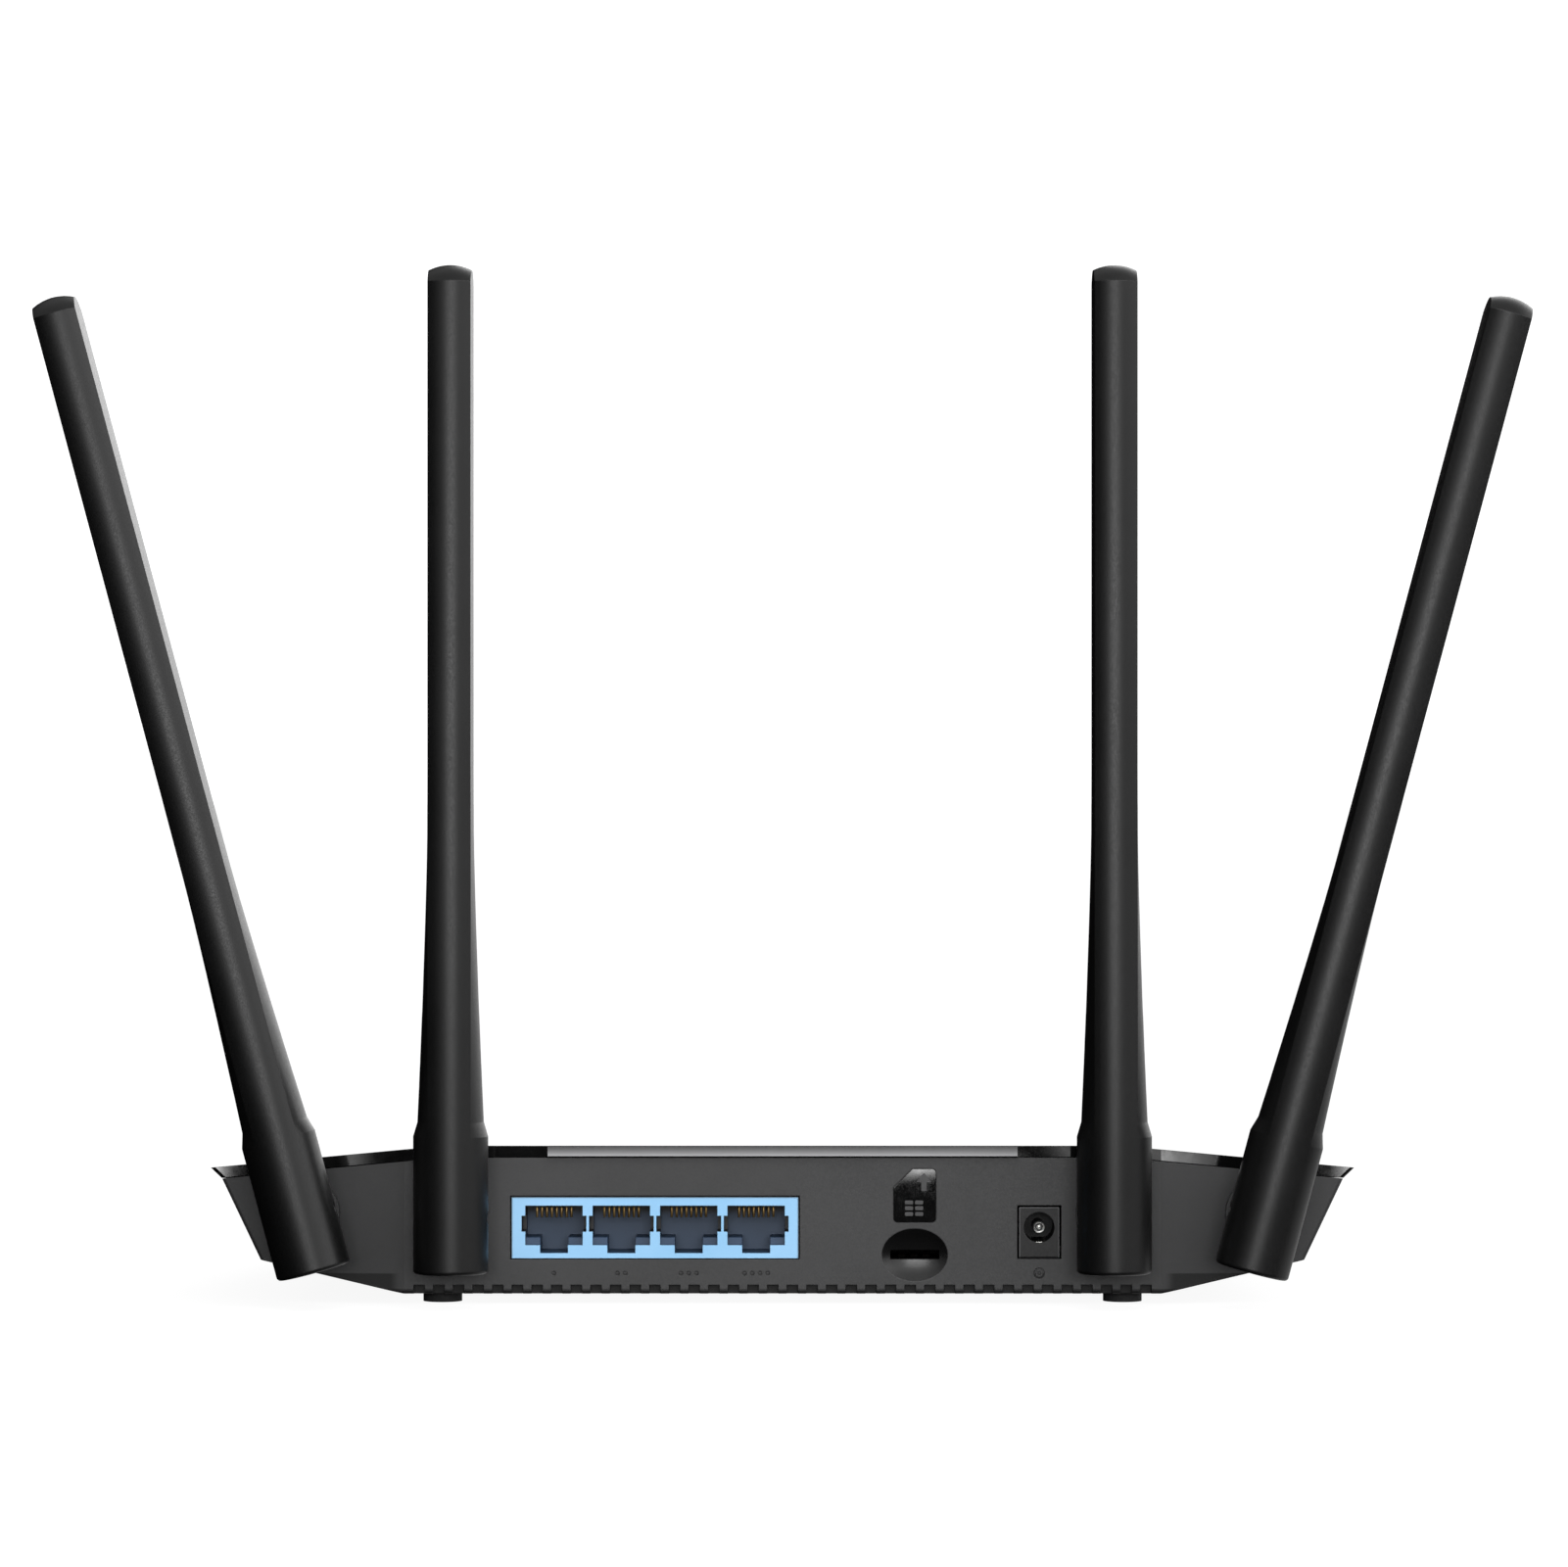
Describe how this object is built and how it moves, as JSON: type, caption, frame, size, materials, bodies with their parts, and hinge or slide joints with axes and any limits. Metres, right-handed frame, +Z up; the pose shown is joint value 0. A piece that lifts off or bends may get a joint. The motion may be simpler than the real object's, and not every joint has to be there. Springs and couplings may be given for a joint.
{
  "type": "wireless router",
  "caption": "Low desktop router with a winged case, a light-blue network socket block, a card slot, a barrel power inlet and swivelling, tilting blade antennas along the rear.",
  "frame": {"origin": "on the desk plane, under the middle of the whole object's bounding box at rest", "axes": "+X to the right seen from the rear, +Y towards the router's front edge (the rear panel faces -Y), +Z up"},
  "size_m": [0.307, 0.1616, 0.2141],
  "materials": {
    "matte_black_abs": "fine matte texture",
    "gloss_black_abs": "gloss",
    "antenna_black_abs": "satin",
    "black_rubber": "matte",
    "zinc_steel": "zinc plated",
    "clear_plastic": "clear",
    "light_blue_plastic": "satin",
    "gold": "gold flash",
    "nickel": "bright nickel",
    "tin_sheet": "tinned sheet",
    "green_board": "solder mask",
    "chip_epoxy": "moulded epoxy",
    "silicone_pad": "soft silicone",
    "black_aluminium": "black anodised",
    "led_white": "lens",
    "lead_jacket": "fluoropolymer jacket"
  },
  "bodies": {
    "housing": {"bottom_housing": "matte_black_abs", "top_cover": "gloss_black_abs", "top_panel": "gloss_black_abs", "rubber_feet": "black_rubber", "case_screws": "zinc_steel", "light_guide": "clear_plastic", "lan_socket_block": "light_blue_plastic", "lan_contacts": "gold", "dc_jack_body": "matte_black_abs", "dc_jack_pin": "nickel", "dc_jack_spring": "nickel", "sim_socket": "tin_sheet", "sim_contacts": "gold", "sim_marker": "gloss_black_abs", "main_pcb": "green_board", "pcb_screws": "zinc_steel", "processor": "chip_epoxy", "thermal_pad": "silicone_pad", "heatsink": "black_aluminium", "memory_chips": "chip_epoxy", "flash_chip": "chip_epoxy", "lan_transformers": "chip_epoxy", "wifi_chips": "chip_epoxy", "wifi_shields": "tin_sheet", "lte_module": "green_board", "lte_shield": "tin_sheet", "capacitors": "tin_sheet", "inductors": "chip_epoxy", "status_leds": "led_white", "reset_switch": "tin_sheet", "antenna_plugs": "gold", "antenna_leads": "lead_jacket"},
    "reset_button": {"reset_plunger": "matte_black_abs"},
    "swivel_1": {"swivel_base_1": "matte_black_abs", "swivel_clip_1": "zinc_steel"},
    "antenna_1": {"antenna_shell_1": "antenna_black_abs", "antenna_cover_1": "antenna_black_abs", "antenna_radiator_1": "green_board", "hinge_pin_1": "zinc_steel"},
    "swivel_2": {"swivel_base_2": "matte_black_abs", "swivel_clip_2": "zinc_steel"},
    "antenna_2": {"antenna_shell_2": "antenna_black_abs", "antenna_cover_2": "antenna_black_abs", "antenna_radiator_2": "green_board", "hinge_pin_2": "zinc_steel"},
    "swivel_3": {"swivel_base_3": "matte_black_abs", "swivel_clip_3": "zinc_steel"},
    "antenna_3": {"antenna_shell_3": "antenna_black_abs", "antenna_cover_3": "antenna_black_abs", "antenna_radiator_3": "green_board", "hinge_pin_3": "zinc_steel"},
    "swivel_4": {"swivel_base_4": "matte_black_abs", "swivel_clip_4": "zinc_steel"},
    "antenna_4": {"antenna_shell_4": "antenna_black_abs", "antenna_cover_4": "antenna_black_abs", "antenna_radiator_4": "green_board", "hinge_pin_4": "zinc_steel"}
  },
  "joints": [
    {"name": "reset_press", "type": "slide", "parent": "housing", "child": "reset_button", "axis": [0, 0, 1], "range_m": [0, 0.0003], "stiffness_N_per_m": 3000, "springref_m": -0.0002},
    {"name": "antenna_swivel_1", "type": "hinge", "parent": "housing", "child": "swivel_1", "pos_m": [-0.099, -0.07315, 0.019], "axis": [0, 1, 0], "range_deg": [-75, 15]},
    {"name": "antenna_tilt_1", "type": "hinge", "parent": "swivel_1", "child": "antenna_1", "pos_m": [-0.099, -0.07315, 0.019], "axis": [0.9659, 0, 0.2588], "range_deg": [0, 90]},
    {"name": "antenna_swivel_2", "type": "hinge", "parent": "housing", "child": "swivel_2", "pos_m": [-0.068, -0.07315, 0.019], "axis": [0, 1, 0], "range_deg": [-15, 35]},
    {"name": "antenna_tilt_2", "type": "hinge", "parent": "swivel_2", "child": "antenna_2", "pos_m": [-0.068, -0.07315, 0.019], "axis": [1, 0, 0], "range_deg": [0, 90]},
    {"name": "antenna_swivel_3", "type": "hinge", "parent": "housing", "child": "swivel_3", "pos_m": [0.068, -0.07315, 0.019], "axis": [0, 1, 0], "range_deg": [-35, 15]},
    {"name": "antenna_tilt_3", "type": "hinge", "parent": "swivel_3", "child": "antenna_3", "pos_m": [0.068, -0.07315, 0.019], "axis": [1, 0, 0], "range_deg": [0, 90]},
    {"name": "antenna_swivel_4", "type": "hinge", "parent": "housing", "child": "swivel_4", "pos_m": [0.099, -0.07315, 0.019], "axis": [0, 1, 0], "range_deg": [-15, 75]},
    {"name": "antenna_tilt_4", "type": "hinge", "parent": "swivel_4", "child": "antenna_4", "pos_m": [0.099, -0.07315, 0.019], "axis": [0.9659, 0, -0.2588], "range_deg": [0, 90]}
  ]
}
